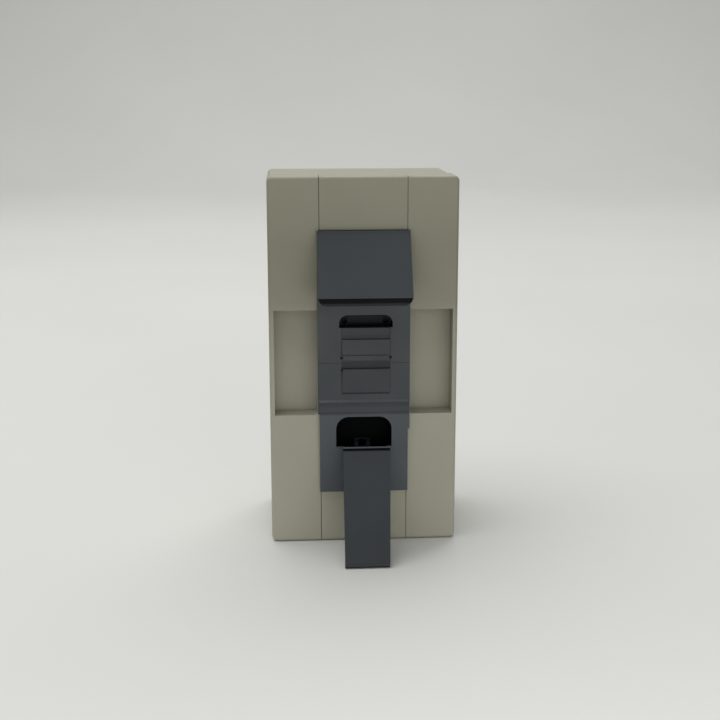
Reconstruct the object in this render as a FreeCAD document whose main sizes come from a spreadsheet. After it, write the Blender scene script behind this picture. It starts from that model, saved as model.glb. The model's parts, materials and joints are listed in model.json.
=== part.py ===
import FreeCAD
import Part
import Sketcher
import os
import math

# Three-pole fused disconnect switch, millimetres.
# Frame: +X right, +Z up, the front of the case faces -Y, the rear mounting
# face lies in the plane Y = 0 and its centre is the origin.
# "Depth" below is the distance in front of the mounting face, so Y = -depth.

os.makedirs("parts", exist_ok=True)
doc = FreeCAD.newDocument("fused_disconnect_switch")
V = FreeCAD.Vector

# ---------------------------------------------------------------- dimensions
DIMS = [
    ("case_w", 89.0), ("case_ht", 176.0), ("base_d", 40.0), ("lid_back", 40.6),
    ("front_d", 66.0), ("wall", 2.5), ("side_wall", 2.3), ("floor_t", 3.0),
    ("corner_top", 2.4), ("corner_bot", 2.9), ("front_round", 1.5), ("base_drop", 0.8),
    ("pitch", 28.5), ("rib_t", 2.0),
    ("pivot_d", 46.4), ("pivot_z", 82.2), ("roll_r", 5.8), ("pin_r", 1.5), ("run_gap", 0.05),
    ("chan_half", 20.7), ("chan_wall", 1.3), ("inner_front", 56.0), ("inner_back", 54.0),
    ("rec_top", 25.9), ("rec_bot", -24.7), ("strip_top", 63.2), ("strip_bot", -62.5),
    ("mount_x", 28.5), ("mount_z", 92.0), ("mount_r", 2.75), ("well_r", 5.0), ("well_out", 6.2),
    ("seat_d", 8.0), ("strap_t", 3.0), ("strap_w", 15.0), ("term_z", 72.0), ("term_r", 4.0),
    ("jaw_in", 29.0), ("jaw_out", 39.0), ("jaw_half", 3.1), ("jaw_t", 1.8), ("jaw_tip", 30.0),
    ("fix_z", 57.0),
    ("fuse_w", 20.5), ("fuse_back", 10.0), ("fuse_front", 46.0), ("fuse_end", 22.0), ("cap_t", 1.5),
    ("blade_t", 6.0), ("blade_back", 14.0), ("blade_front", 29.0), ("blade_tip", 39.25),
    ("lug_front", 52.0),
    ("proud_d", 68.0), ("panel_half", 21.8), ("plate_half", 21.0), ("hood_half", 21.7),
    ("front_x", 1.0), ("panel_top", 30.5), ("panel_bot", -23.9), ("lip_z", 35.1), ("lip_d", 83.5), ("hood_t", 2.6),
    ("slot_half", 12.6), ("slot_low", 17.8), ("slot_high", 23.8), ("slot_round", 4.0),
    ("insert_half", 11.3), ("insert_top", 18.2), ("insert_bot", -14.0), ("insert_d", 68.5),
    ("pock_half", 13.25), ("pock_low", -40.2), ("pock_high", -25.4), ("pock_round", 6.0),
    ("lever_d", 64.5), ("lever_z", -46.0), ("hub_r", 4.2), ("hub_half", 6.0), ("axle_r", 2.0),
    ("crank", 12.5), ("roller_r", 2.0),
    ("root_d", 74.0), ("root_z", -38.5), ("tip_d", 103.6), ("tip_z", -87.7),
    ("root_half", 11.25), ("tip_half", 10.3), ("tip_shift", 1.6), ("plate_t", 2.4), ("flange_t", 1.6),
    ("slide_half", 7.5), ("slide_back", 50.5), ("slide_front", 53.6),
    ("keep_low", -58.0), ("keep_high", -54.0), ("keep_back", 33.0), ("keep_front", 37.0),
]
sheet = doc.addObject("Spreadsheet::Sheet", "dims")
for i, (alias, value) in enumerate(DIMS):
    sheet.set("A%d" % (i + 1), alias)
    sheet.set("B%d" % (i + 1), str(value))
    sheet.setAlias("B%d" % (i + 1), alias)
doc.recompute()


class Q:
    """A size: its value now, and the expression that gives it from the sheet."""

    def __init__(self, value, text, bound=False):
        self.v = float(value)
        self.e = text
        self.bound = bound

    def _mix(self, other, sign, value):
        return Q(value, "(%s %s %s)" % (self.e, sign, other.e), self.bound or other.bound)

    def __add__(self, o):
        o = q(o)
        return self._mix(o, "+", self.v + o.v)

    def __radd__(self, o):
        return q(o) + self

    def __sub__(self, o):
        o = q(o)
        return self._mix(o, "-", self.v - o.v)

    def __rsub__(self, o):
        return q(o) - self

    def __mul__(self, o):
        o = q(o)
        return self._mix(o, "*", self.v * o.v)

    def __rmul__(self, o):
        return q(o) * self

    def __truediv__(self, o):
        o = q(o)
        return self._mix(o, "/", self.v / o.v)

    def __neg__(self):
        return Q(-self.v, "(0 - %s)" % self.e, self.bound)


def q(x):
    if isinstance(x, Q):
        return x
    x = float(x)
    return Q(x, "%.6f" % x if x >= 0 else "(0 - %.6f)" % -x)


D = {alias: Q(value, "dims." + alias, True) for alias, value in DIMS}


def bind(obj, prop, size):
    """Give a property its value and, where it comes from the sheet, its expression."""
    size = q(size)
    if size.bound:
        obj.setExpression(prop, size.e)
        return
    if prop.startswith("Placement.Base."):
        base = obj.Placement.Base
        setattr(base, prop[-1], size.v)
        obj.Placement = FreeCAD.Placement(base, obj.Placement.Rotation)
    else:
        setattr(obj, prop, size.v)


# ------------------------------------------------- Part primitives, booleans
count = [0]


def nm(prefix):
    count[0] += 1
    return "%s_%03d" % (prefix, count[0])


def place(obj, x, y, z, rot=None):
    if rot is not None:
        obj.Placement = FreeCAD.Placement(obj.Placement.Base, rot)
    for key, size in (("x", x), ("y", y), ("z", z)):
        bind(obj, "Placement.Base." + key, size)


def block(x0, x1, d0, d1, z0, z1, name=None):
    """A box between two X values, two depths and two heights."""
    x0, x1, d0, d1, z0, z1 = [q(a) for a in (x0, x1, d0, d1, z0, z1)]
    o = doc.addObject("Part::Box", name or nm("box"))
    bind(o, "Length", x1 - x0)
    bind(o, "Width", d1 - d0)
    bind(o, "Height", z1 - z0)
    place(o, x0, -d1, z0)
    return o


def rod(axis, radius, a, b, u, v, name=None):
    """A cylinder from a to b. axis d: u = X, v = Z. axis x: u = depth, v = Z. axis z: u = X, v = depth."""
    a, b, u, v = [q(t) for t in (a, b, u, v)]
    o = doc.addObject("Part::Cylinder", name or nm("rod"))
    bind(o, "Radius", radius)
    bind(o, "Height", b - a)
    if axis == "d":
        place(o, u, -a, v, FreeCAD.Rotation(V(1, 0, 0), 90))
    elif axis == "x":
        place(o, a, -u, v, FreeCAD.Rotation(V(0, 1, 0), 90))
    else:
        place(o, u, -v, a)
    return o


def hexrod(af, a, b, x, z, name=None):
    """A hexagonal prism along the depth, across flats af."""
    o = doc.addObject("Part::Prism", name or nm("hex"))
    o.Polygon = 6
    bind(o, "Circumradius", q(af) / 1.7320508)
    bind(o, "Height", q(b) - q(a))
    place(o, x, -q(a), z, FreeCAD.Rotation(V(1, 0, 0), 90))
    return o


def fuse(parts, name=None):
    if len(parts) == 1 and name is None:
        return parts[0]
    o = doc.addObject("Part::MultiFuse", name or nm("fuse"))
    o.Shapes = parts
    return o


def cut(base, tools, name=None):
    tool = tools[0] if len(tools) == 1 else fuse(tools)
    o = doc.addObject("Part::Cut", name or nm("cut"))
    o.Base = base
    o.Tool = tool
    return o


def group(parts, name):
    """Separate identical solids kept together in one sub-part."""
    o = doc.addObject("Part::Compound", name)
    o.Links = parts
    return o


def edges_of(obj, test):
    return [i + 1 for i, e in enumerate(obj.Shape.Edges) if test(e)]


def round_edges(obj, radius, test, name=None):
    """A Part fillet on the edges that pass the test."""
    doc.recompute()
    ids = edges_of(obj, test)
    if not ids:
        raise RuntimeError("no edge to round on " + obj.Name)
    o = doc.addObject("Part::Fillet", name or nm("round"))
    o.Base = obj
    r = q(radius).v
    o.Edges = [(i, r, r) for i in ids]
    return o


# -------------------------------------------------------- PartDesign helpers
class Body:
    """A PartDesign body whose sketches sit on its own origin planes.
    front: sketch X = X, sketch Y = Z, pads grow forwards (towards -Y) from a depth.
    side: sketch X = -depth (Y), sketch Y = Z, pads grow along +X.
    top: sketch X = X, sketch Y = Y, pads grow upwards."""

    ROLE = {"front": "XZ_Plane", "side": "YZ_Plane", "top": "XY_Plane"}

    def __init__(self, name):
        self.b = doc.addObject("PartDesign::Body", name)
        self.b.Label = name
        self.name = name

    def sketch(self, plane, start, rings):
        sk = self.b.newObject("Sketcher::SketchObject", nm("sk"))
        role = self.ROLE[plane]
        support = [f for f in self.b.Origin.OriginFeatures if f.Role == role][0]
        sk.AttachmentSupport = [(support, "")]
        sk.MapMode = "FlatFace"
        start = q(start)
        if start.bound:
            sk.setExpression("AttachmentOffset.Base.z", start.e)
        else:
            sk.AttachmentOffset = FreeCAD.Placement(V(0, 0, start.v), FreeCAD.Rotation())
        for ring in rings:
            if ring[0] == "circle":
                self._circle(sk, *ring[1:])
            else:
                self._poly(sk, ring)
        return sk

    @staticmethod
    def _fix(sk, geo, pos, u, v):
        for kind, size, axis in (("DistanceX", u, -2), ("DistanceY", v, -1)):
            if abs(size.v) < 1e-9:
                sk.addConstraint(Sketcher.Constraint("PointOnObject", geo, pos, axis))
                continue
            n = sk.addConstraint(Sketcher.Constraint(kind, -1, 1, geo, pos, size.v))
            if size.bound:
                sk.setExpression("Constraints[%d]" % n, size.e)

    def _circle(self, sk, u, v, r):
        u, v, r = q(u), q(v), q(r)
        g = sk.addGeometry(Part.Circle(V(u.v, v.v, 0), V(0, 0, 1), r.v), False)
        n = sk.addConstraint(Sketcher.Constraint("Radius", g, r.v))
        if r.bound:
            sk.setExpression("Constraints[%d]" % n, r.e)
        self._fix(sk, g, 3, u, v)

    def _poly(self, sk, pts):
        pts = [(q(a), q(b)) for a, b in pts]
        first = None
        ids = []
        for i in range(len(pts)):
            a, b = pts[i], pts[(i + 1) % len(pts)]
            ids.append(sk.addGeometry(Part.LineSegment(V(a[0].v, a[1].v, 0), V(b[0].v, b[1].v, 0)), False))
        for i in range(len(ids)):
            sk.addConstraint(Sketcher.Constraint("Coincident", ids[i], 2, ids[(i + 1) % len(ids)], 1))
        for i, g in enumerate(ids):
            self._fix(sk, g, 1, pts[i][0], pts[i][1])

    def pad(self, plane, start, length, *rings):
        sk = self.sketch(plane, start, rings)
        f = self.b.newObject("PartDesign::Pad", nm("pad"))
        f.Profile = sk
        bind(f, "Length", length)
        self.b.Tip = f
        return f

    def pocket(self, plane, start, length, *rings):
        """Cut from the start plane onwards, in the direction that pads grow."""
        doc.recompute()
        before = self.b.Shape.Volume
        sk = self.sketch(plane, start, rings)
        f = self.b.newObject("PartDesign::Pocket", nm("pocket"))
        f.Profile = sk
        f.Reversed = True
        bind(f, "Length", length)
        self.b.Tip = f
        doc.recompute()
        if f.Shape.Volume >= before - 1e-3:
            raise RuntimeError("%s: a pocket removed nothing" % self.name)
        return f

    def fillet(self, radius, test):
        doc.recompute()
        tip = self.b.Tip
        names = ["Edge%d" % (i + 1) for i, e in enumerate(tip.Shape.Edges) if test(e)]
        if not names:
            raise RuntimeError("%s: no edge to round" % self.name)
        f = self.b.newObject("PartDesign::Fillet", nm("fillet"))
        f.Base = (tip, names)
        bind(f, "Radius", radius)
        self.b.Tip = f
        doc.recompute()
        if "Invalid" in f.State or not f.Shape.isValid():
            raise RuntimeError("%s: a fillet failed" % self.name)
        return f


def rect(u0, u1, v0, v1):
    return [(u0, v0), (u1, v0), (u1, v1), (u0, v1)]


def mirror_x(ring):
    return [(-q(a), b) for a, b in reversed(ring)]


def along(e, axis):
    """True for a straight edge along an axis."""
    if not isinstance(e.Curve, Part.Line):
        return False
    t = e.tangentAt(e.FirstParameter)
    return abs(getattr(t, axis)) > 0.999


def mid(e):
    return e.valueAt((e.FirstParameter + e.LastParameter) / 2.0)


def near(a, b, tol=0.02):
    return abs(a - b) < tol


SUB = []


def keep(obj, label=None):
    obj = obj.b if isinstance(obj, Body) else obj
    if label:
        obj.Label = label
    SUB.append(obj)
    return obj


HALF_W = D["case_w"] / 2
HALF_H = D["case_ht"] / 2
POLES = (("left", -D["pitch"]), ("centre", q(0.0)), ("right", D["pitch"]))


def arch(half, low, high, radius, centre=0.0, steps=8):
    """A ring with square lower corners and rounded upper ones, about a centre line."""
    half, low, high, radius, centre = q(half), q(low), q(high), q(radius), q(centre)
    pts = [(centre - half, low), (centre + half, low)]
    for i in range(steps + 1):
        a = math.pi / 2 * i / steps
        pts.append((centre + half - radius + radius * math.cos(a), high - radius + radius * math.sin(a)))
    for i in range(steps + 1):
        a = math.pi / 2 * (1 + i / float(steps))
        pts.append((centre - half + radius + radius * math.cos(a), high - radius + radius * math.sin(a)))
    return pts


# ================================================================= the base
base = Body("base_housing")
base.pad("front", 0, D["base_d"], rect(-HALF_W, HALF_W, -HALF_H, HALF_H - D["base_drop"]))
base.fillet(D["corner_top"], lambda e: along(e, "y") and mid(e).z > 80)
base.fillet(D["corner_bot"], lambda e: along(e, "y") and mid(e).z < -80)
inner_x = HALF_W - D["wall"]
inner_z = HALF_H - D["wall"]
rib_in = D["pitch"] / 2 - D["rib_t"] / 2
rib_out = D["pitch"] / 2 + D["rib_t"] / 2
side_room = [(rib_out, -inner_z), (inner_x - 1.5, -inner_z), (inner_x, -inner_z + 1.5),
             (inner_x, inner_z - 3), (inner_x - 3, inner_z), (rib_out, inner_z)]
base.pocket("front", D["floor_t"], D["base_d"] - D["floor_t"] + 1,
            rect(-rib_in, rib_in, -inner_z, inner_z), side_room, mirror_x(side_room))
# pedestals under the contacts: a shelf for the terminal, the strap and the jaw
for _, px in POLES:
    for s in (1, -1):
        for half, za, zb in ((7.5, D["jaw_in"] - 0.5, D["jaw_out"] + 1.0), (5.5, D["fix_z"] - 4.2, D["fix_z"] + 4.2),
                             (9.0, D["term_z"] - 9.5, D["term_z"] + 9.5)):
            lo, hi = (q(za), q(zb)) if s > 0 else (-q(zb), -q(za))
            base.pad("front", D["floor_t"] - 0.5, D["seat_d"] - D["floor_t"] + 0.5, rect(px - half, px + half, lo, hi))
# screw wells in the ribs between the poles, for the mounting screws
wells = [(sx * D["mount_x"] / 2, sz * D["mount_z"] / 2) for sx in (1, -1) for sz in (1, -1)]
for wx, wz in wells:
    base.pad("front", D["floor_t"] - 0.5, 38.0 - D["floor_t"] + 0.5, ("circle", wx, wz, D["well_out"]))
base.pocket("front", 6.0, 36.0, *[("circle", wx, wz, D["well_r"]) for wx, wz in wells])
base.pocket("front", -1.0, 8.0, *[("circle", wx, wz, D["mount_r"]) for wx, wz in wells])
# nut pockets, bolt clearance and pilot holes of the strap screws
nuts, pilots = [], []
for _, px in POLES:
    for s in (1, -1):
        r = 13.1 / math.sqrt(3)
        nuts.append([(px + r * math.cos(math.radians(60 * k)), s * D["term_z"] + r * math.sin(math.radians(60 * k)))
                     for k in range(6)])
        pilots.append(("circle", px, s * D["fix_z"], 1.9))
base.pocket("front", 1.5, 7.5, *nuts)
base.pocket("front", 3.6, 5.0, *pilots)
# open cable entries at the bottom; at the top, break-out panels of the same size, plain
# outside and with a thinned web inside
base.pocket("front", 15.0, 16.0, *[rect(px - 8, px + 8, -HALF_H - 1, -inner_z + 0.5) for _, px in POLES])
base.pocket("top", inner_z - 0.5, 1.3, *[rect(px - 7.2, px + 7.2, -30.2, -15.8) for _, px in POLES])
# shallow panels in the side walls, with gas vents beside the arc chambers
for x0, x1 in ((HALF_W - 0.6, 41.0), (-HALF_W - 0.5, -45.5)):
    base.pocket("side", x0, 1.1, rect(-35.5, -6.0, -57.0, 57.0))
    base.pocket("side", x1, 4.5, *[rect(-d0 - 1.8, -d0, lo, lo + 11.0) for d0 in (11.0, 15.5, 20.0, 24.5, 29.0) for lo in (41.5, -52.5)])
# coring of the rear face, which leaves a rim and cross ribs to bear on the plate
base.pocket("front", -1.0, 2.0, *[rect(px - 11.0, px + 11.0, lo, hi) for _, px in POLES
                                  for lo, hi in ((2.0, 18.5), (22.0, 38.5), (-18.5, -2.0), (-38.5, -22.0))])
# grooves in the ribs that hold the latch keeper
base.pocket("front", D["keep_back"], D["keep_front"] - D["keep_back"],
            rect(rib_in - 0.1, rib_in + 0.8, D["keep_low"], D["keep_high"]),
            rect(-rib_in - 0.8, -rib_in + 0.1, D["keep_low"], D["keep_high"]))
# hinge ears, their webs to the side walls and the bores that run on the pins
ear = [(-D["pivot_d"] - 3, D["pivot_z"]), (-D["pivot_d"] - 3, D["pivot_z"] - 8), (-41.0, 62.0), (-30.0, 62.0),
       (-30.0, D["pivot_z"] - 2.2), (-D["pivot_d"] + 3, D["pivot_z"] - 2.2), (-D["pivot_d"] + 3, D["pivot_z"])]
for x0 in (36.0, -40.0):
    base.pad("side", x0, 4.0, ear)
    base.pad("side", x0, 4.0, ("circle", -D["pivot_d"], D["pivot_z"], 3.0))
web = rect(-38.0, -30.0, 62.0, 79.8)
base.pad("side", 39.9, 2.3, web)
base.pad("side", -42.2, 2.3, web)
for x0 in (35.0, -41.0):
    base.pocket("side", x0, 6.0, ("circle", -D["pivot_d"], D["pivot_z"], D["pin_r"] + D["run_gap"]))
keep(base)

# contact jaws with their straps: one bent copper piece for each end of each pole
for name, px in POLES:
    for end, s in (("line", 1), ("load", -1)):
        jaw = Body("jaw_%s_%s" % (end, name))
        o, h = D["jaw_half"] + D["jaw_t"], D["jaw_half"]
        u = [(px - o, -D["seat_d"]), (px + o, -D["seat_d"]), (px + o, -28.0), (px + o + 0.9, -D["jaw_tip"]),
             (px + h + 1.5, -D["jaw_tip"]), (px + h, -27.0), (px + h, -11.0), (px - h, -11.0), (px - h, -27.0),
             (px - h - 1.5, -D["jaw_tip"]), (px - o - 0.9, -D["jaw_tip"]), (px - o, -28.0)]
        start = D["jaw_in"] if s > 0 else -D["jaw_out"]
        jaw.pad("top", start, D["jaw_out"] - D["jaw_in"], u)
        lo = D["jaw_in"] if s > 0 else -D["term_z"] - 8.5
        jaw.pad("top", lo, D["term_z"] + 8.5 - D["jaw_in"],
                rect(px - D["strap_w"] / 2, px + D["strap_w"] / 2, -D["seat_d"] - D["strap_t"], -D["seat_d"]))
        jaw.pocket("front", D["seat_d"] - 1, D["strap_t"] + 2, ("circle", px, s * D["term_z"], D["term_r"] + 0.25),
                   ("circle", px, s * D["fix_z"], 2.2))
        keep(jaw)

cheek = D["jaw_half"] + D["jaw_t"]
for end, s in (("line", 1), ("load", -1)):
    leaves, rivets, bolts, washers, nutset, screws = [], [], [], [], [], []
    for _, px in POLES:
        for k in (1, -1):
            za, zb = (31.0, 37.0) if s > 0 else (-37.0, -31.0)
            if k > 0:
                leaves.append(block(px + cheek, px + cheek + 0.8, 14, 24, za, zb))
                rivets.append(rod("x", 1.3, px + cheek + 0.8, px + cheek + 1.4, 19, s * 34.0))
            else:
                leaves.append(block(px - cheek - 0.8, px - cheek, 14, 24, za, zb))
                rivets.append(rod("x", 1.3, px - cheek - 1.4, px - cheek - 0.8, 19, s * 34.0))
        tz = s * D["term_z"]
        bolts.append(fuse([hexrod(13.0, 12.6, 17.9, px, tz), rod("d", D["term_r"], 2.2, 12.7, px, tz)]))
        washers.append(cut(rod("d", 8.0, 11.0, 12.6, px, tz), [rod("d", D["term_r"] + 0.2, 10.0, 13.6, px, tz)]))
        nutset.append(cut(hexrod(13.0, 1.6, 7.9, px, tz), [rod("d", D["term_r"], 1.0, 9.0, px, tz)]))
        screws.append(fuse([rod("d", 3.6, 11.0, 13.4, px, s * D["fix_z"]),
                            rod("d", 1.9, 4.0, 11.1, px, s * D["fix_z"])]))
    keep(group(leaves, "jaw_springs_" + end), "jaw_springs_" + end)
    keep(group(rivets, "jaw_rivets_" + end), "jaw_rivets_" + end)
    keep(group(bolts, "terminal_bolts_" + end), "terminal_bolts_" + end)
    keep(group(washers, "terminal_washers_" + end), "terminal_washers_" + end)
    keep(group(nutset, "terminal_nuts_" + end), "terminal_nuts_" + end)
    keep(group(screws, "strap_screws_" + end), "strap_screws_" + end)

# arc chutes beyond the line jaws: an insulating frame round five notched steel plates
for name, px in POLES:
    frame = Body("arc_chute_" + name)
    frame.pad("top", 41.7, 11.5, [(px - 7.4, -38.0), (px - 7.4, -12.0), (px + 7.4, -12.0), (px + 7.4, -38.0),
                                  (px + 6.3, -38.0), (px + 6.3, -13.2), (px - 6.3, -13.2), (px - 6.3, -38.0)])
    frame.pad("top", 52.0, 1.2, rect(px - 6.4, px + 6.4, -38.0, -13.0))
    keep(frame)
    plates = []
    for d0 in (15.5, 20.0, 24.5, 29.0, 33.5):
        plates.append(cut(block(px - 6.3, px + 6.3, d0, d0 + 1.0, 42.0, 52.0), [block(px - 2.0, px + 2.0, d0 - 1, d0 + 2, 41.0, 46.0)]))
    keep(group(plates, "arc_plates_" + name), "arc_plates_" + name)

keeper = Body("latch_keeper")
keeper.pad("front", D["keep_back"], D["keep_front"] - D["keep_back"],
           rect(-rib_in - 0.75, rib_in + 0.75, D["keep_low"], D["keep_high"]))
keeper.fillet(0.8, lambda e: along(e, "x"))
keep(keeper)

# ================================================================== the lid
shell = Body("lid_casting")
shell.pad("front", D["lid_back"], D["front_d"] - D["lid_back"], rect(-HALF_W, HALF_W, -HALF_H, HALF_H))
shell.fillet(D["corner_top"], lambda e: along(e, "y") and mid(e).z > 80)
shell.fillet(D["corner_bot"], lambda e: along(e, "y") and mid(e).z < -80)
shell.fillet(D["front_round"], lambda e: near(mid(e).y, -66.0) and near(e.Vertexes[0].Point.y, -66.0)
             and near(e.Vertexes[-1].Point.y, -66.0))
lid_x = HALF_W - D["side_wall"]
roof = HALF_H - 4.0
hall = [(-lid_x + 1.5, -inner_z), (lid_x - 1.5, -inner_z), (lid_x, -inner_z + 1.5), (lid_x, roof - 3), (lid_x - 3, roof),
        (-lid_x + 3, roof), (-lid_x, roof - 3), (-lid_x, -inner_z + 1.5)]
shell.pocket("front", D["lid_back"] - 1, D["inner_back"] - D["lid_back"] + 1, hall)
wall_out = D["chan_half"] + D["chan_wall"]
upper = [(wall_out, D["rec_top"] + 2), (lid_x, D["rec_top"] + 2), (lid_x, roof - 3), (lid_x - 3, roof), (wall_out, roof)]
lower = [(wall_out, -inner_z), (lid_x - 1.5, -inner_z), (lid_x, -inner_z + 1.5), (lid_x, D["rec_bot"] - 2), (wall_out, D["rec_bot"] - 2)]
shell.pocket("front", D["inner_back"] - 1, D["front_d"] - D["inner_back"] - D["wall"] + 1,
             upper, lower, mirror_x(upper), mirror_x(lower))
# finger recesses left and right, and the channel down the middle
recess = [(wall_out, D["rec_bot"] + 1.2), (wall_out + 0.35, D["rec_bot"] + 0.35), (wall_out + 1.2, D["rec_bot"]),
          (lid_x, D["rec_bot"]), (lid_x, D["rec_top"]), (wall_out, D["rec_top"])]
shell.pocket("front", D["inner_front"], 12.0, recess, mirror_x(recess))
shell.pocket("front", D["inner_front"], 12.0, rect(-D["chan_half"], D["chan_half"], -HALF_H - 1, HALF_H + 1))
# opening for the crank, holes for the handle screws, blind holes for rivets and guide screws
shell.pocket("front", D["inner_back"] - 1, 4.0, rect(-5.4, 5.4, D["lever_z"] - 13.9, D["lever_z"] + 10.5),
             *[("circle", x, z, 1.6) for x, z in ((16.0, 50.0), (-16.0, 50.0), (16.0, -56.0), (-16.0, -56.0))])
shell.pocket("front", D["inner_back"] - 1, 2.5, *([("circle", px, z, 1.2) for _, px in POLES for z in (12.0, -12.0)]
             + [("circle", x, -68.0, 1.1) for x in (12.2, -12.2)]))
# lugs that hold the hinge pins
for x0 in (31.0, -35.0):
    shell.pad("side", x0, 4.0, ("circle", -D["pivot_d"], D["pivot_z"], 4.2))
    shell.pad("side", x0, 4.0, rect(-D["pivot_d"] - 4.2, -D["pivot_d"] + 3.2, D["pivot_z"], roof + 1))
for x0, length in ((30.5, 5.0), (-35.5, 5.0), (39.0, 4.5), (-43.5, 4.5)):
    shell.pocket("side", x0, length, ("circle", -D["pivot_d"], D["pivot_z"], D["pin_r"]))
# the rear top edge is rolled about the hinge axis, and notched where the ears reach in
roll = cut(block(-50, 50, D["lid_back"] - 2, D["pivot_d"], D["pivot_z"], HALF_H + 2),
           [rod("x", D["roll_r"], -51, 51, D["pivot_d"], D["pivot_z"])])
notches = []
for x0, x1 in ((35.2, 41.4), (-41.4, -35.2)):
    notches.append(block(x0, x1, D["lid_back"] - 1, D["pivot_d"], D["pivot_z"] - 5, HALF_H + 1))
    notches.append(block(x0, x1, D["pivot_d"] - 1, D["pivot_d"] + 6, D["pivot_z"] - 3, HALF_H - D["wall"]))
keep(cut(shell.b, [roll] + notches, "lid_shell"), "lid_shell")

top_cover = Body("top_centre_cover")
cov = D["chan_half"] - 0.25
top_cover.pad("front", D["inner_front"] + 0.3, D["front_d"] - D["inner_front"] - 0.3,
              rect(-cov, cov, D["strip_top"] + 0.2, HALF_H))
top_cover.fillet(D["front_round"], lambda e: along(e, "x") and near(mid(e).y, -66.0) and mid(e).z > 87)
top_cover.pocket("front", D["inner_front"], 8.0, rect(-cov + 2, cov - 2, D["strip_top"] + 2.2, HALF_H - 2.2))
keep(top_cover)

bottom_cover = Body("bottom_centre_cover")
bottom_cover.pad("front", D["inner_front"] + 0.3, D["front_d"] - D["inner_front"] - 0.3,
                 rect(-cov, cov, -HALF_H, D["strip_bot"] - 0.3))
bottom_cover.fillet(D["front_round"], lambda e: along(e, "x") and near(mid(e).y, -66.0) and mid(e).z < -87)
bottom_cover.pocket("front", D["inner_front"], 8.0, rect(-cov + 2, cov - 2, -HALF_H + 2.2, D["strip_bot"] - 2.3))
keep(bottom_cover)

# the dark handle moulding: core in the channel, face plate over it, finger hood at the top
handle = Body("handle_body")
core = D["chan_half"] - 0.3
handle.pad("front", D["inner_front"] + 0.3, D["front_d"] - D["inner_front"] + 0.1,
           rect(-core, core, D["strip_bot"] + 0.2, D["strip_top"] - 0.2))
face = [(-D["plate_half"], D["strip_bot"]), (D["plate_half"], D["strip_bot"]), (D["plate_half"], -31.6), (D["panel_half"], -31.6),
        (D["panel_half"], D["panel_top"]), (D["hood_half"], D["panel_top"]), (D["hood_half"], D["strip_top"]),
        (-D["hood_half"], D["strip_top"]), (-D["hood_half"], D["panel_top"]), (-D["panel_half"], D["panel_top"]),
        (-D["panel_half"], D["panel_bot"]), (-D["plate_half"], D["panel_bot"])]
handle.pad("front", D["front_d"] + 0.3, D["proud_d"] - D["front_d"] - 0.3, face)
lip_d, lip_z = D["lip_d"], D["lip_z"]
hood = [(-D["proud_d"] + 0.8, D["strip_top"]), (-lip_d, lip_z), (-lip_d, lip_z - 0.8), (-lip_d + 1.1, lip_z - 1.1),
        (-lip_d + 1.4, D["panel_top"]), (-D["front_d"] - 0.6, D["panel_top"]),
        (-D["front_d"] - 0.6, D["strip_top"])]
handle.pad("side", -D["hood_half"], 2 * D["hood_half"], hood)
handle.fillet(4.0, lambda e: along(e, "y") and near(mid(e).z, 30.5) and mid(e).y < -72)
handle.fillet(0.6, lambda e: along(e, "x") and near(mid(e).z, 35.1) and near(mid(e).y, -83.5))
handle.pocket("side", -D["hood_half"] + D["hood_t"], 2 * (D["hood_half"] - D["hood_t"]),
              [(-70.0, D["panel_top"] - 0.5), (-lip_d + D["hood_t"], D["panel_top"] - 0.5), (-lip_d + D["hood_t"], lip_z - 0.7),
               (-80.9, lip_z), (-70.0, 53.5)])
fx = D["front_x"]
handle.pocket("front", 60.5, 9.0, arch(D["slot_half"], D["slot_low"], D["slot_high"], D["slot_round"], fx))
handle.pocket("front", 57.5, 3.4, *[("circle", fx + x, 19.9, 1.5) for x in (-9.9, 9.9)])
# the deep pocket over the lever's root, and below it the room for the hub, hidden behind the lever
handle.pocket("front", 57.6, 11.0, arch(D["pock_half"], D["pock_low"], D["pock_high"], D["pock_round"]))
handle.pocket("front", 57.6, 11.0, rect(fx - 10.2, fx + 10.2, D["lever_z"] - 5.8, D["pock_low"] + 0.2))
handle.pocket("front", D["inner_front"], 8.2, rect(-4.0, 4.0, D["lever_z"] - 13.0, D["lever_z"] + 7.2))
handle.pocket("front", 66.8, 3.0, rect(fx - D["insert_half"] - 0.15, fx + D["insert_half"] + 0.15, D["insert_bot"] - 0.15, D["slot_low"] + 0.01))
handle.pocket("front", 66.2, 3.0, *[("circle", fx + x, z, r) for x, z, r in ((-11.5, 3.6, 0.8), (11.5, 3.6, 0.7), (-11.4, -2.3, 0.55))])
handle.pocket("front", D["inner_front"], 8.5, rect(-12, 12, 28.0, 60.0), rect(-18.4, 18.4, -23.5, 14.0))
handle.pocket("front", D["inner_front"], 7.0, *[("circle", x, z, 1.25) for x, z in ((16.0, 50.0), (-16.0, 50.0), (16.0, -56.0), (-16.0, -56.0))])
handle.pocket("side", -17.0, 34.0, ("circle", -D["lever_d"], D["lever_z"], D["axle_r"]))
# relief of the face plate: the low band over the lever, its bead and the faint crease on the flanks
handle.pocket("front", 67.6, 1.0, rect(-23, 23, D["panel_bot"] + 0.4, -18.1))
handle.pad("side", -21.3, 42.6, [(-67.3, -17.2), (-68.0, -17.2), (-68.6, -17.9), (-68.6, -18.1), (-67.3, -18.5)])
handle.pocket("front", 67.75, 1.0, rect(fx + D["insert_half"] + 0.8, 23, 0.7, 1.2), rect(-23, fx - D["insert_half"] - 0.8, 0.7, 1.2))
keep(handle)

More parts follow.
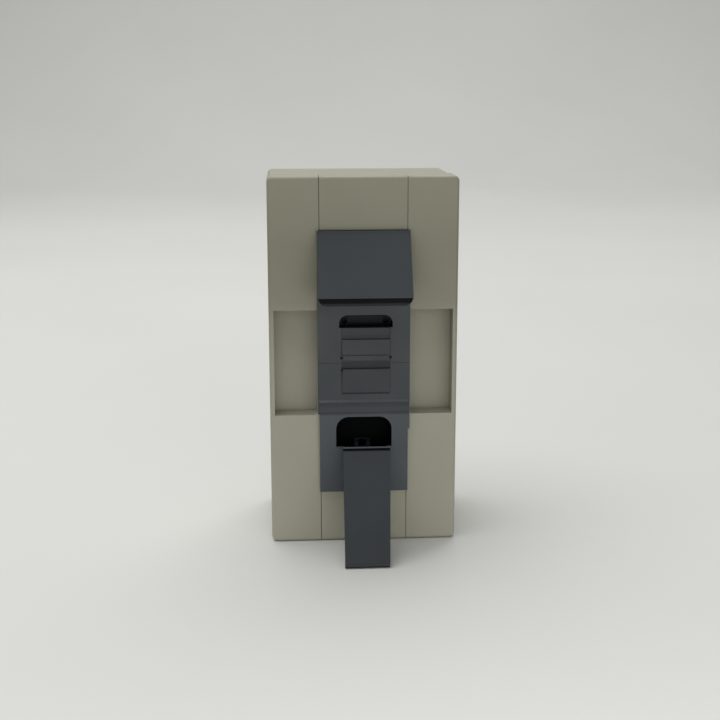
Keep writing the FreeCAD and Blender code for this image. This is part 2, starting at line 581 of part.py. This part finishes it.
insert = Body("centre_insert")
insert.pad("side", fx - D["insert_half"], 2 * D["insert_half"],
           [(-66.8, D["insert_bot"]), (-68.2, D["insert_bot"]), (-68.75, -13.2), (-69.0, -2.1), (-68.8, -1.8), (-67.8, -1.7), (-68.1, 2.0),
            (-68.55, 2.2), (-68.45, 4.4), (-68.1, 4.5), (-68.1, 4.8), (-68.9, 5.1), (-68.4, 12.1), (-67.7, 12.4), (-68.35, 17.1),
            (-68.2, 17.7), (-66.8, 17.7)])
insert.pocket("front", 67.0, 3.0, *[("circle", fx + x, z, r) for x, z, r in ((-11.5, 3.6, 0.8), (11.5, 3.6, 0.7), (-11.4, -2.3, 0.55))])
keep(insert)

# fuse links: ceramic body, and at each end a plate with its blade and gripping lug
for name, px in POLES:
    body = round_edges(block(px - D["fuse_w"] / 2, px + D["fuse_w"] / 2, D["fuse_back"], D["fuse_front"], -D["fuse_end"], D["fuse_end"]),
                       3.0, lambda e: along(e, "z"), "fuse_body_" + name)
    keep(body, "fuse_body_" + name)
    for end, s in (("line", 1), ("load", -1)):
        c = Body("fuse_contact_%s_%s" % (end, name))
        z0 = D["fuse_end"] if s > 0 else -D["fuse_end"] - D["cap_t"]
        c.pad("top", z0, D["cap_t"], [(px - 9.8, -10.5), (px + 9.8, -10.5), (px + 9.8, -45.5), (px + 5, -45.5), (px + 5, -D["lug_front"]),
                                      (px - 5, -D["lug_front"]), (px - 5, -45.5), (px - 9.8, -45.5)])
        zi, zt = D["fuse_end"] + D["cap_t"] - 0.1, D["blade_tip"]
        c.pad("side", px - D["blade_t"] / 2, D["blade_t"],
              [(-D["blade_back"], s * zi), (-D["blade_front"], s * zi), (-D["blade_front"], s * (zt - 1.5)),
               (-D["blade_front"] + 1.5, s * zt), (-D["blade_back"] - 1.5, s * zt), (-D["blade_back"], s * (zt - 1.5))])
        keep(c)
    clip = Body("fuse_clip_" + name)
    cz = D["fuse_end"] + D["cap_t"]
    clip.pad("front", D["inner_back"] - 1, 1.0, rect(px - 8, px + 8, -cz - 1.2, cz + 1.2))
    clip.pad("front", 46.5, 6.6, rect(px - 4.5, px + 4.5, cz, cz + 1.2))
    clip.pad("front", 46.5, 6.6, rect(px - 4.5, px + 4.5, -cz - 1.2, -cz))
    clip.pocket("front", D["inner_back"] - 2, 3.0, ("circle", px, 12.0, 1.2), ("circle", px, -12.0, 1.2))
    keep(clip)

clip_rivets = [fuse([rod("d", 2.0, 52.2, 53.0, px, z), rod("d", 1.2, 52.9, 55.4, px, z)]) for _, px in POLES for z in (12.0, -12.0)]
keep(group(clip_rivets, "clip_rivets"), "clip_rivets")
handle_screws = [fuse([rod("d", 2.8, 51.6, 54.0, x, z), rod("d", 1.25, 53.9, 62.5, x, z)])
                 for x, z in ((16.0, 50.0), (-16.0, 50.0), (16.0, -56.0), (-16.0, -56.0))]
keep(group(handle_screws, "handle_screws"), "handle_screws")
keep(group([rod("x", D["pin_r"], 31.2, 43.4, D["pivot_d"], D["pivot_z"]),
            rod("x", D["pin_r"], -43.4, -31.2, D["pivot_d"], D["pivot_z"])], "lid_hinge_pins"), "lid_hinge_pins")

guide = Body("latch_guide")
guide.pad("front", 50.1, 3.9, rect(7.9, 10.4, -75.0, -30.0))
guide.pad("front", 48.7, 1.5, rect(-10.4, 10.4, -36.0, -31.0))
guide.pad("front", 50.1, 3.9, rect(-10.4, -7.9, -75.0, -30.0))
guide.pad("front", 52.4, 1.6, rect(10.3, 14.0, -72.0, -64.0))
guide.pad("front", 52.4, 1.6, rect(-14.0, -10.3, -72.0, -64.0))
guide.pocket("front", 52.0, 3.0, ("circle", 12.2, -68.0, 1.1), ("circle", -12.2, -68.0, 1.1))
keep(guide)
guide_screws = [fuse([rod("d", 1.7, 51.0, 52.4, x, -68.0), rod("d", 1.1, 52.3, 55.4, x, -68.0)]) for x in (12.2, -12.2)]
keep(group(guide_screws, "guide_screws"), "guide_screws")

# ================================================================ the lever
lever = Body("lever")
lever.pad("side", fx - D["hub_half"], 2 * D["hub_half"], ("circle", -D["lever_d"], D["lever_z"], D["hub_r"]))
# the neck from the hub to the back of the plate
lever.pad("side", fx - D["hub_half"], 2 * D["hub_half"],
          [(-D["lever_d"], D["lever_z"] + D["hub_r"]), (-72.7, -40.9), (-75.2, -45.0), (-66.5, -49.7), (-D["lever_d"], D["lever_z"])])
# the crank that works the latch
lever.pad("side", -1.6, 3.2, [(-D["lever_d"] + 2.5, D["lever_z"] + 2.3), (-D["lever_d"] + 2.5, D["lever_z"] - 2.3),
                              (-D["lever_d"] + 12.5, D["lever_z"] - 1.8), (-D["lever_d"] + 14.1, D["lever_z"] - 0.9),
                              (-D["lever_d"] + 14.1, D["lever_z"] + 0.9), (-D["lever_d"] + 12.5, D["lever_z"] + 1.8)])
# the plate: its face runs from the root to a blunt, slightly turned-down tip
run_d, run_z = 0.5340, -0.8455
nor_d, nor_z = 0.8455, 0.5340


def on_plate(run, off=0.0):
    """A point of the side sketch: a distance down the face from the root, and an offset behind the face."""
    return (-(D["root_d"] + run * run_d - q(off) * nor_d), D["root_z"] + run * run_z - q(off) * nor_z)


plate = [on_plate(0), on_plate(0.8), on_plate(0.85, 1.1), on_plate(1.8, 1.1), on_plate(1.9), on_plate(54.8),
         (-D["tip_d"], D["tip_z"] + 0.6), (-D["tip_d"] + 0.6, D["tip_z"]), (-D["tip_d"] + 1.4, D["tip_z"]),
         on_plate(55.4, D["plate_t"]), on_plate(0.4, D["plate_t"]), on_plate(0, D["plate_t"] - 0.5)]
lever.pad("side", fx - D["root_half"] - 0.7, 2 * D["root_half"] + 0.7, plate)
# stiffening flanges behind both long edges and a cross rib near the tip
flange = [on_plate(7.0, 1.5), on_plate(53.5, 1.5), on_plate(52.5, D["plate_t"] + 2.6), on_plate(12.0, D["plate_t"] + 2.6)]
for x0 in (fx - D["root_half"] + 0.9, fx + D["root_half"] - 2.75 - D["flange_t"]):
    lever.pad("side", x0, D["flange_t"], flange)
for run in (18.0, 34.0, 50.0):
    lever.pad("side", fx - D["tip_half"] + 0.3, 2 * D["tip_half"] - 2.7,
              [on_plate(run, 1.5), on_plate(run + 1.6, 1.5), on_plate(run + 1.6, D["plate_t"] + 1.6), on_plate(run, D["plate_t"] + 1.6)])
# the long edges close in towards the tip, which sits a little to the left
tip_x = fx - D["tip_shift"]
lever.pocket("front", 70.0, 40.0, [(fx + D["root_half"], -38.0), (fx + D["root_half"] + 1.5, -38.0),
                                   (fx + D["root_half"] + 1.5, -89.0), (tip_x + D["tip_half"], -89.0)])
lever.pocket("front", 70.0, 40.0, [(tip_x - D["tip_half"], -89.0), (fx - D["root_half"] - 1.5, -89.0),
                                   (fx - D["root_half"] - 1.5, -38.0), (fx - D["root_half"], -38.0)])
lever.pocket("side", -9.0, 20.0, ("circle", -D["lever_d"], D["lever_z"], D["axle_r"] + D["run_gap"]))
lever.pocket("side", -3.0, 6.0, ("circle", -D["lever_d"] + D["crank"], D["lever_z"], 1.0))
keep(lever)

lev = D["lever_d"] - D["crank"]
keep(fuse([rod("x", 1.0, -3.2, 3.2, lev, D["lever_z"]), rod("x", D["roller_r"], 1.7, 3.2, lev, D["lever_z"]),
           rod("x", D["roller_r"], -3.2, -1.7, lev, D["lever_z"])], "crank_roller"), "crank_roller")
keep(rod("x", D["axle_r"], -16.6, 16.6, D["lever_d"], D["lever_z"], "lever_axle"), "lever_axle")

# ================================================================ the latch
slide = Body("latch_slide")
slide.pad("front", D["slide_back"], D["slide_front"] - D["slide_back"], rect(-D["slide_half"], D["slide_half"], -68.0, -31.5))
slide.pad("front", D["slide_front"] - 0.2, 2.5, rect(-4.9, 4.9, D["lever_z"] - 4.6, D["lever_z"] + 4.6))
slide.pocket("front", D["slide_back"] - 1, 8.0, rect(-3.5, 3.5, D["lever_z"] - 2.45, D["lever_z"] + 2.45))
slide.pocket("front", D["slide_back"] - 1, 8.0, rect(-2.0, 2.0, D["lever_z"] - 5.5, D["lever_z"] + 5.5))
keep(slide)

hook = Body("latch_hook")
hook.pad("side", -4.0, 8.0, [(-D["slide_back"], -57.0), (-D["slide_back"], -67.6), (-28.5, -67.6), (-28.5, -59.6), (-29.6, -58.5),
                             (-31.8, -58.5), (-32.4, -59.2), (-32.4, -64.1), (-48.5, -64.1), (-48.5, -57.0)])
keep(hook)
keep(group([rod("d", 1.3, 47.9, 48.5, 2.2, -60.3), rod("d", 1.3, 47.9, 48.5, -2.2, -60.3)], "hook_rivets"), "hook_rivets")

# return springs of the lever: two coils on the axle, between the hub and the pocket sides
coils = []
for sx in (1, -1):
    turns = []
    for k in range(3):
        o = doc.addObject("Part::Torus", nm("coil"))
        bind(o, "Radius1", 2.9)
        bind(o, "Radius2", 0.45)
        place(o, fx + sx * (6.65 + 0.85 * k), -D["lever_d"], D["lever_z"], FreeCAD.Rotation(V(0, 1, 0), 90))
        turns.append(o)
    coils.append(fuse(turns))
keep(group(coils, "lever_springs"), "lever_springs")

# ---------------------------------------------------- checks and the export
doc.recompute()
for o in doc.Objects:
    if "Invalid" in o.State or "Error" in o.State:
        raise RuntimeError("%s (%s) failed: %s" % (o.Name, o.Label, o.State))
labels = [o.Label for o in SUB]
if len(set(labels)) != len(labels):
    raise RuntimeError("a name is used twice")
for o in SUB:
    s = o.Shape
    if s.isNull() or not s.isValid():
        raise RuntimeError("%s has no valid shape" % o.Label)
    if not s.Solids:
        raise RuntimeError("%s has no solid" % o.Label)
    bb = s.BoundBox
    print("%-26s solids %2d vol %9.1f  x %7.2f %7.2f  y %7.2f %7.2f  z %7.2f %7.2f" % (
        o.Label, len(s.Solids), s.Volume, bb.XMin, bb.XMax, bb.YMin, bb.YMax, bb.ZMin, bb.ZMax))
for f in os.listdir("parts"):
    if f.endswith(".step"):
        os.remove(os.path.join("parts", f))
for o in SUB:
    o.Shape.exportStep(os.path.join("parts", o.Label + ".step"))
print("%d sub-parts written" % len(SUB))
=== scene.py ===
import bpy
import bmesh
import json
import math
from mathutils import Matrix, Vector

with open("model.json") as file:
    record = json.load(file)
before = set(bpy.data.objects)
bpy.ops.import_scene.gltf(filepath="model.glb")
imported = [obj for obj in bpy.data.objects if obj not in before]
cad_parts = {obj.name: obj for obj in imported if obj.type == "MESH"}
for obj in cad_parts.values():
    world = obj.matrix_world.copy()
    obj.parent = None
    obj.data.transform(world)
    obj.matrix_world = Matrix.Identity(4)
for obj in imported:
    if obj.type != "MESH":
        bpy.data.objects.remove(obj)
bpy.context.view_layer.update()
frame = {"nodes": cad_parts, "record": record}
nodes = frame["nodes"]
scene = bpy.context.scene
MM = 0.001


# ------------------------------------------------------------------ materials
def new_material(name):
    m = bpy.data.materials.new(name)
    m.use_nodes = True
    nt = m.node_tree
    for n in list(nt.nodes):
        nt.nodes.remove(n)
    out = nt.nodes.new("ShaderNodeOutputMaterial")
    bsdf = nt.nodes.new("ShaderNodeBsdfPrincipled")
    nt.links.new(bsdf.outputs["BSDF"], out.inputs["Surface"])
    return m, nt, bsdf


def coords(nt, scale=(1, 1, 1)):
    tc = nt.nodes.new("ShaderNodeTexCoord")
    mp = nt.nodes.new("ShaderNodeMapping")
    mp.inputs["Scale"].default_value = scale
    nt.links.new(tc.outputs["Object"], mp.inputs["Vector"])
    return mp.outputs["Vector"]


def noise(nt, vec, scale, detail=3.0, rough=0.5):
    n = nt.nodes.new("ShaderNodeTexNoise")
    n.inputs["Scale"].default_value = scale
    n.inputs["Detail"].default_value = detail
    n.inputs["Roughness"].default_value = rough
    nt.links.new(vec, n.inputs["Vector"])
    return n.outputs["Fac"]


def ramp(nt, fac, stops):
    r = nt.nodes.new("ShaderNodeValToRGB")
    els = r.color_ramp.elements
    while len(els) < len(stops):
        els.new(0.5)
    for el, (pos, col) in zip(els, stops):
        el.position = pos
        el.color = (*col, 1.0)
    nt.links.new(fac, r.inputs["Fac"])
    return r.outputs["Color"]


def remap(nt, fac, lo, hi, a=0.3, b=0.7):
    n = nt.nodes.new("ShaderNodeMapRange")
    n.inputs["From Min"].default_value = a
    n.inputs["From Max"].default_value = b
    n.inputs["To Min"].default_value = lo
    n.inputs["To Max"].default_value = hi
    nt.links.new(fac, n.inputs["Value"])
    return n.outputs["Result"]


def mix(nt, fac, a, b, kind="MIX"):
    n = nt.nodes.new("ShaderNodeMix")
    n.data_type = "RGBA"
    n.blend_type = kind
    for key, val in (("Factor", fac), ("A", a), ("B", b)):
        socket = [s for s in n.inputs if s.name == key and s.type in (("VALUE",) if key == "Factor" else ("RGBA",))][0]
        if isinstance(val, (int, float)):
            socket.default_value = val
        elif isinstance(val, tuple):
            socket.default_value = (*val, 1.0)
        else:
            nt.links.new(val, socket)
    return [s for s in n.outputs if s.type == "RGBA"][0]


def bump(nt, height, strength, distance, normal=None):
    n = nt.nodes.new("ShaderNodeBump")
    n.inputs["Strength"].default_value = strength
    n.inputs["Distance"].default_value = distance
    nt.links.new(height, n.inputs["Height"])
    if normal is not None:
        nt.links.new(normal, n.inputs["Normal"])
    return n.outputs["Normal"]


def paint_light_and_shade_boxes(nt, colour, boxes, soft=0.25):
    """Paints light and shade: multiplies a colour inside boxes given in millimetres on the part (x, y and z limits,
    then the factor); a factor below 1 is painted shade, above 1 painted light.
    Returns the colour and the factor on its own."""
    tc = nt.nodes.new("ShaderNodeTexCoord")
    sep = nt.nodes.new("ShaderNodeSeparateXYZ")
    nt.links.new(tc.outputs["Object"], sep.inputs["Vector"])

    def step(axis, at, rising):
        n = nt.nodes.new("ShaderNodeMapRange")
        n.interpolation_type = "SMOOTHSTEP"
        n.inputs["From Min"].default_value = (at - soft) * MM
        n.inputs["From Max"].default_value = (at + soft) * MM
        n.inputs["To Min"].default_value = 0.0 if rising else 1.0
        n.inputs["To Max"].default_value = 1.0 if rising else 0.0
        nt.links.new(sep.outputs[axis], n.inputs["Value"])
        return n.outputs["Result"]

    whole = None
    for limits, factor in boxes:
        fac = None
        for axis, pair in zip("XYZ", limits):
            for at, rising in zip(pair, (True, False)):
                if at is None:
                    continue
                s = step(axis, at, rising)
                if fac is None:
                    fac = s
                else:
                    m = nt.nodes.new("ShaderNodeMath")
                    m.operation = "MULTIPLY"
                    nt.links.new(fac, m.inputs[0])
                    nt.links.new(s, m.inputs[1])
                    fac = m.outputs["Value"]
        grey = mix(nt, fac, (1.0, 1.0, 1.0), (factor, factor, factor))
        colour = mix(nt, 1.0, colour, grey, "MULTIPLY")
        whole = grey if whole is None else mix(nt, 1.0, whole, grey, "MULTIPLY")
    return colour, whole


def tint(c, k):
    return tuple(max(0.0, min(1.0, v * k)) for v in c)


def moulded(name, colour, rough, grain=2600.0, grain_depth=0.00003, spread=0.05, dust=(0.0, (1, 1, 1)), specular=0.5,
            flow=(1, 1, 1), light_and_shade_boxes=(), light_and_shade_by_height=None):
    """Moulded plastic: spark-eroded grain, slow colour and gloss variation from the melt's flow, a little settled dust,
    and optional painted light and shade by height and inside boxes.
    """
    m, nt, b = new_material(name)
    vec = coords(nt)
    wide = noise(nt, coords(nt, flow), 16.0, 2.0, 0.6)
    fine = noise(nt, vec, 420.0, 3.0, 0.6)
    base = ramp(nt, wide, ((0.30, tint(colour, 1 - spread)), (0.52, colour), (0.72, tint(colour, 1 + spread))))
    speck = remap(nt, fine, 0.0, 0.10, 0.45, 0.75)
    base = mix(nt, speck, base, tint(colour, 0.86))
    if dust[0] > 0:
        geo = nt.nodes.new("ShaderNodeNewGeometry")
        sep = nt.nodes.new("ShaderNodeSeparateXYZ")
        nt.links.new(geo.outputs["Normal"], sep.inputs["Vector"])
        up = remap(nt, sep.outputs["Z"], 0.0, dust[0], 0.25, 0.95)
        base = mix(nt, up, base, dust[1])
    # painted light and shade by height: the colour is multiplied by a ramp along the part's height
    if light_and_shade_by_height:
        tc = nt.nodes.new("ShaderNodeTexCoord")
        up = nt.nodes.new("ShaderNodeSeparateXYZ")
        nt.links.new(tc.outputs["Object"], up.inputs["Vector"])
        base = mix(nt, 1.0, base, ramp(nt, remap(nt, up.outputs["Z"], 0.0, 1.0, -0.088, 0.088), light_and_shade_by_height), "MULTIPLY")
    shade = None
    # painted light and shade inside boxes; the specular level follows the same factor
    if light_and_shade_boxes:
        base, shade = paint_light_and_shade_boxes(nt, base, light_and_shade_boxes)
    nt.links.new(base, b.inputs["Base Color"])
    r = remap(nt, noise(nt, vec, 55.0, 4.0, 0.6), rough - 0.05, rough + 0.07)
    nt.links.new(r, b.inputs["Roughness"])
    if shade is None:
        b.inputs["Specular IOR Level"].default_value = specular
    else:
        nt.links.new(remap(nt, shade, 0.0, specular, 0.0, 1.0), b.inputs["Specular IOR Level"])
    grain_h = noise(nt, vec, grain, 2.0, 0.55)
    n1 = bump(nt, grain_h, 0.35, grain_depth)
    wave = noise(nt, vec, 24.0, 1.0, 0.4)
    nt.links.new(bump(nt, wave, 0.12, 0.0006, n1), b.inputs["Normal"])
    return m


def metal(name, colour, rough, stretch=(1, 1, 1), scratch=900.0, tarnish=None, amount=0.35):
    """Metal with a brushed or rolled direction, a soft cloud of tarnish and a few duller spots."""
    m, nt, b = new_material(name)
    lines = noise(nt, coords(nt, stretch), scratch, 2.0, 0.6)
    cloud = noise(nt, coords(nt), 60.0, 3.0, 0.55)
    spots = noise(nt, coords(nt), 260.0, 2.0, 0.5)
    base = mix(nt, remap(nt, cloud, amount, 0.0, 0.34, 0.62), colour, tarnish or tint(colour, 0.72))
    base = mix(nt, remap(nt, spots, 0.0, 0.22, 0.60, 0.80), base, tint(colour, 0.62))
    base = mix(nt, remap(nt, lines, 0.0, 0.12, 0.40, 0.70), base, tint(colour, 1.10))
    nt.links.new(base, b.inputs["Base Color"])
    b.inputs["Metallic"].default_value = 1.0
    nt.links.new(remap(nt, lines, rough - 0.07, rough + 0.10), b.inputs["Roughness"])
    nt.links.new(bump(nt, lines, 0.25, 0.00002), b.inputs["Normal"])
    return m


BEIGE = (0.335, 0.325, 0.258)
DARK = (0.0315, 0.0385, 0.0445)
mats = {
    # case: painted light near the bottom of the front and painted shade over its upper part, darker and more yellow,
    # easing back near the top
    "case_plastic": moulded("case_plastic", BEIGE, 0.50, grain=2400.0, spread=0.035, dust=(0.10, (0.55, 0.54, 0.50)), specular=0.42,
                            light_and_shade_by_height=((0.02, (1.14, 1.14, 1.14)), (0.50, (1.00, 1.00, 0.985)), (0.61, (0.88, 0.875, 0.845)),
                                  (0.67, (0.70, 0.695, 0.645)), (0.82, (0.69, 0.685, 0.63)), (1.0, (0.84, 0.835, 0.78)))),
    "dark_plastic": moulded("dark_plastic", DARK, 0.46, grain=2800.0, grain_depth=0.000022, spread=0.10,
                            dust=(0.05, (0.20, 0.20, 0.20)), specular=0.42),
    "natural_plastic": moulded("natural_plastic", (0.55, 0.52, 0.44), 0.45, spread=0.05),
    "fibre": moulded("fibre", (0.24, 0.07, 0.045), 0.62, grain=1500.0, spread=0.16, flow=(1, 6, 1)),
    "ceramic": moulded("ceramic", (0.56, 0.535, 0.475), 0.58, grain=3200.0, spread=0.04),
    "plated_copper": metal("plated_copper", (0.70, 0.69, 0.66), 0.36, (1, 1, 0.08), 900.0, (0.50, 0.44, 0.35), 0.45),
    "spring_steel": metal("spring_steel", (0.50, 0.50, 0.51), 0.28, (1, 1, 0.12), 900.0, (0.40, 0.38, 0.35), 0.30),
    "zinc_steel": metal("zinc_steel", (0.58, 0.59, 0.59), 0.38, (1, 1, 1), 420.0, (0.50, 0.49, 0.42), 0.40),
}
# the same dark plastic; on the handle, painted shade in the depths of its pocket and slot and on the face under the
# lip, a painted shade band below the bead, a painted highlight on the bead's top and painted light on the lower plate
handle_mat = moulded("dark_plastic_handle", DARK, 0.46, grain=2800.0, grain_depth=0.000022, spread=0.10,
                     dust=(0.05, (0.20, 0.20, 0.20)), specular=0.42,
                     light_and_shade_boxes=((((-13.6, 13.6), (-66.6, None), (-46.0, -25.0)), 0.06),
                            (((-12.4, 14.4), (-66.6, None), (17.0, 24.4)), 0.32),
                            (((None, None), (-83.0, -80.0), (31.6, 34.5)), 0.14),
                            (((None, None), (-83.0, -80.0), (29.5, 31.6)), 0.42),
                            (((None, None), (None, -66.7), (-64.0, -24.5)), 1.75),
                            (((-21.4, 21.4), (None, None), (-20.6, -18.3)), 0.86),
                            (((-21.4, 21.4), (-68.9, -68.0), (-18.05, -17.0)), 2.1)))
# the insert: a copy tinted darker as painted shade, with painted shade bands across its facets
insert_mat = moulded("dark_plastic_insert", tint(DARK, 0.93), 0.44, grain=2800.0, grain_depth=0.000022, spread=0.10,
                     dust=(0.05, (0.20, 0.20, 0.20)), specular=0.42,
                     light_and_shade_boxes=((((None, None), (None, None), (12.3, 17.6)), 0.88),
                            (((None, None), (None, None), (12.3, 14.3)), 0.88),
                            (((None, None), (None, None), (-1.9, 1.7)), 0.68),
                            (((None, None), (None, None), (-13.0, -2.0)), 0.88)))
# the lever: a copy tinted darker as painted shade, painted shade on its tip and in the groove under its root, a painted
# highlight along the root's top edge, and painted shade darkening towards its lower end
lever_mat = moulded("dark_plastic_lever", tint(DARK, 0.90), 0.43, grain=2800.0, grain_depth=0.000022, spread=0.08,
                    dust=(0.03, (0.20, 0.20, 0.20)), specular=0.42,
                    light_and_shade_boxes=((((None, None), (None, None), (-89.0, -85.4)), 0.75),
                           (((None, None), (None, None), (-89.0, -87.1)), 0.40),
                           (((None, None), (None, None), (-40.3, -39.25)), 0.16),
                            (((None, None), (-80.0, -66.0), (-39.1, -38.3)), 2.0)),
                    light_and_shade_by_height=((0.0, (0.68, 0.68, 0.69)), (0.16, (0.92, 0.92, 0.92)), (0.27, (1.0, 1.0, 1.0))))
own = {"handle_body": handle_mat, "centre_insert": insert_mat, "lever": lever_mat}
for sub in frame["record"]["subparts"]:
    o = nodes[sub["node"]]
    o.data.materials.clear()
    o.data.materials.append(own.get(sub["node"]) or mats[sub["material_slot"]])


# ----------------------------------------------- softened edges of the mouldings
def soften(name, width, angle=32.0, segments=2):
    o = nodes[name]
    w = o.modifiers.new("weld", "WELD")
    w.merge_threshold = 0.000002
    b = o.modifiers.new("edge", "BEVEL")
    b.width = width * MM
    b.segments = segments
    b.limit_method = "ANGLE"
    b.angle_limit = math.radians(angle)
    b.use_clamp_overlap = True
    b.harden_normals = False
    b.miter_outer = "MITER_ARC"
    for p in o.data.polygons:
        p.use_smooth = True
    n = o.modifiers.new("normals", "WEIGHTED_NORMAL")
    n.keep_sharp = False
    n.weight = 80


# ------------------------------------------------------------- camera and stage
target = Vector((-1.70 * MM, -66 * MM, 1.84 * MM))
az, el, dist = math.radians(-3.543), math.radians(12.504), 0.5910
cam_data = bpy.data.cameras.new("camera")
cam = bpy.data.objects.new("camera", cam_data)
scene.collection.objects.link(cam)
cam_data.sensor_width = 36.0
cam_data.lens = 62.5
cam_data.clip_start = 0.01
cam_data.clip_end = 20
cam.location = target + dist * Vector((math.sin(az) * math.cos(el), -math.cos(az) * math.cos(el), math.sin(el)))
look = (target - cam.location).to_track_quat("-Z", "Y")
cam.rotation_mode = "QUATERNION"
cam.rotation_quaternion = look @ Matrix.Rotation(math.radians(-0.071), 4, "Z").to_quaternion()
scene.camera = cam

floor_z = -0.0881


def sweep():
    """A pale floor that curves up into a back wall."""
    prof = [(-2.2, floor_z)]
    r, y0 = 0.8, 1.9
    for i in range(17):
        a = math.pi / 2 * i / 16
        prof.append((y0 + r * math.sin(a), floor_z + r - r * math.cos(a)))
    prof.append((y0 + r, 3.2))
    bm = bmesh.new()
    rows = []
    for y, z in prof:
        rows.append([bm.verts.new((x, y, z)) for x in (-3.2, 0.0, 3.2)])
    for a, b in zip(rows, rows[1:]):
        for i in range(2):
            bm.faces.new((a[i], a[i + 1], b[i + 1], b[i]))
    me = bpy.data.meshes.new("sweep")
    bm.to_mesh(me)
    bm.free()
    for p in me.polygons:
        p.use_smooth = True
    o = bpy.data.objects.new("sweep", me)
    scene.collection.objects.link(o)
    m, nt, b = new_material("paper")
    tone = ramp(nt, noise(nt, coords(nt), 3.0, 2.0), ((0.3, (0.625, 0.627, 0.602)), (0.7, (0.645, 0.647, 0.622))))
    nt.links.new(tone, b.inputs["Base Color"])
    b.inputs["Roughness"].default_value = 0.85
    b.inputs["Specular IOR Level"].default_value = 0.15
    me.materials.append(m)


sweep()


def area(name, loc, aim, size, power, colour=(1, 1, 1)):
    d = bpy.data.lights.new(name, "AREA")
    d.shape = "RECTANGLE"
    d.size, d.size_y = size
    d.energy = power
    d.color = colour
    o = bpy.data.objects.new(name, d)
    scene.collection.objects.link(o)
    o.location = loc
    o.rotation_mode = "QUATERNION"
    o.rotation_quaternion = (Vector(aim) - Vector(loc)).to_track_quat("-Z", "Y")
    return o


area("key", (-0.45, 0.05, 1.75), (0, -0.10, 0.0), (2.2, 1.8), 32.2, (1.0, 0.998, 0.99))
area("back", (0.3, 2.1, 2.2), (0, 1.4, -0.1), (2.6, 1.6), 30.0, (1.0, 1.0, 1.0))
area("front", (0.5, -1.5, 0.45), (0, -0.03, 0.0), (1.6, 0.9), 2.8, (0.99, 0.995, 1.0))
area("low", (0.03, -0.40, -0.045), (0, -0.06, -0.03), (0.42, 0.06), 0.22, (1.0, 0.995, 0.98))
world = bpy.data.worlds.new("studio")
scene.world = world
world.use_nodes = True
bg = world.node_tree.nodes["Background"]
bg.inputs["Color"].default_value = (0.985, 0.99, 1.0, 1)
bg.inputs["Strength"].default_value = 0.235
scene.view_settings.view_transform = "Standard"


# ------------------------------------------------------------- edges
for name, width in (("lid_shell", 0.35), ("top_centre_cover", 0.3), ("bottom_centre_cover", 0.3), ("handle_body", 0.3),
                    ("centre_insert", 0.2), ("lever", 0.35), ("base_housing", 0.35)):
    soften(name, width)
